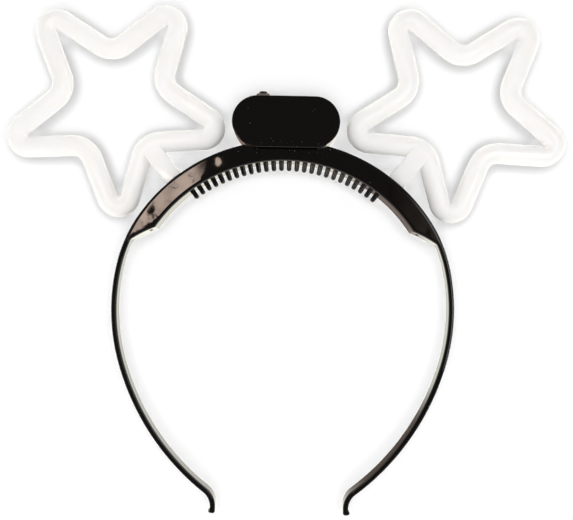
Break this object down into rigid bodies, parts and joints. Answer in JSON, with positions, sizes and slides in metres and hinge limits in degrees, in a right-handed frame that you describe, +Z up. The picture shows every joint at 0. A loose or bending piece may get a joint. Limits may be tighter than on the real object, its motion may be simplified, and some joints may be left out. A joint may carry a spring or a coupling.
{
  "type": "light-up headband",
  "caption": "Black plastic headband with a comb in its crown, a battery box with a push switch, and white star light tubes on short posts.",
  "frame": {"origin": "middle of the headband's footprint, on the surface that it lies on", "axes": "+X from leg to leg, +Y from the leg ends to the stars, +Z up, out of the headband's front"},
  "size_m": [0.2404, 0.2172, 0.018],
  "materials": {
    "black_gloss": "polished moulded black plastic",
    "switch_metal": "tinned sheet metal",
    "black_plunger": "moulded black plastic",
    "star_white": "milky white translucent plastic"
  },
  "bodies": {
    "headband": {"band": "black_gloss", "crown_back": "black_gloss", "battery_base": "black_gloss", "battery_lid": "black_gloss", "switch_frame": "switch_metal", "star_left": "star_white", "star_right": "star_white"},
    "plunger": {"switch_plunger": "black_plunger"}
  },
  "joints": [
    {"name": "switch_press", "type": "slide", "parent": "headband", "child": "plunger", "axis": [0, -1, 0], "range_m": [0, 0.00025], "stiffness_N_per_m": 400, "springref_m": -0.0003}
  ]
}
